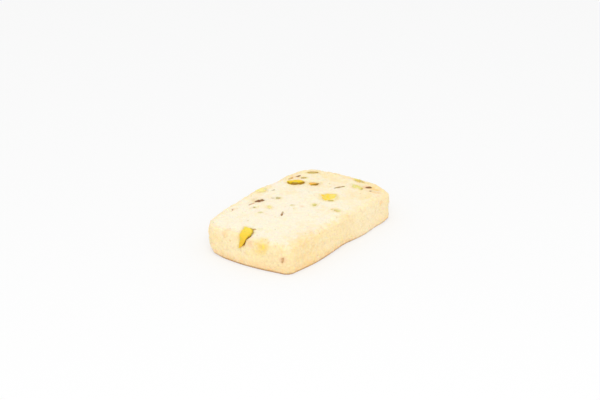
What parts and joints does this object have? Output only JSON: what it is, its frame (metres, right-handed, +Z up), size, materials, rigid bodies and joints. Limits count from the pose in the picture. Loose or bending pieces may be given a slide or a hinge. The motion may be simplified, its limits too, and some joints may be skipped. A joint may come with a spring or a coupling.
{
  "type": "pistachio biscuit",
  "caption": "Thick rounded slice of pale shortbread with chopped pistachios set in it, lying flat.",
  "frame": {"origin": "under the middle of the biscuit, in the flat plane that it rests on", "axes": "+Z up out of the top face; +X along the long side, away from the end whose upper edge a pistachio breaks; +Y towards the more bowed long side"},
  "size_m": [0.061, 0.0376, 0.0108],
  "materials": {
    "shortbread": "matte",
    "pistachio_kernel": "satin",
    "pistachio_skin": "matte"
  },
  "bodies": {
    "root": {"biscuit": "shortbread"}
  },
  "joints": []
}
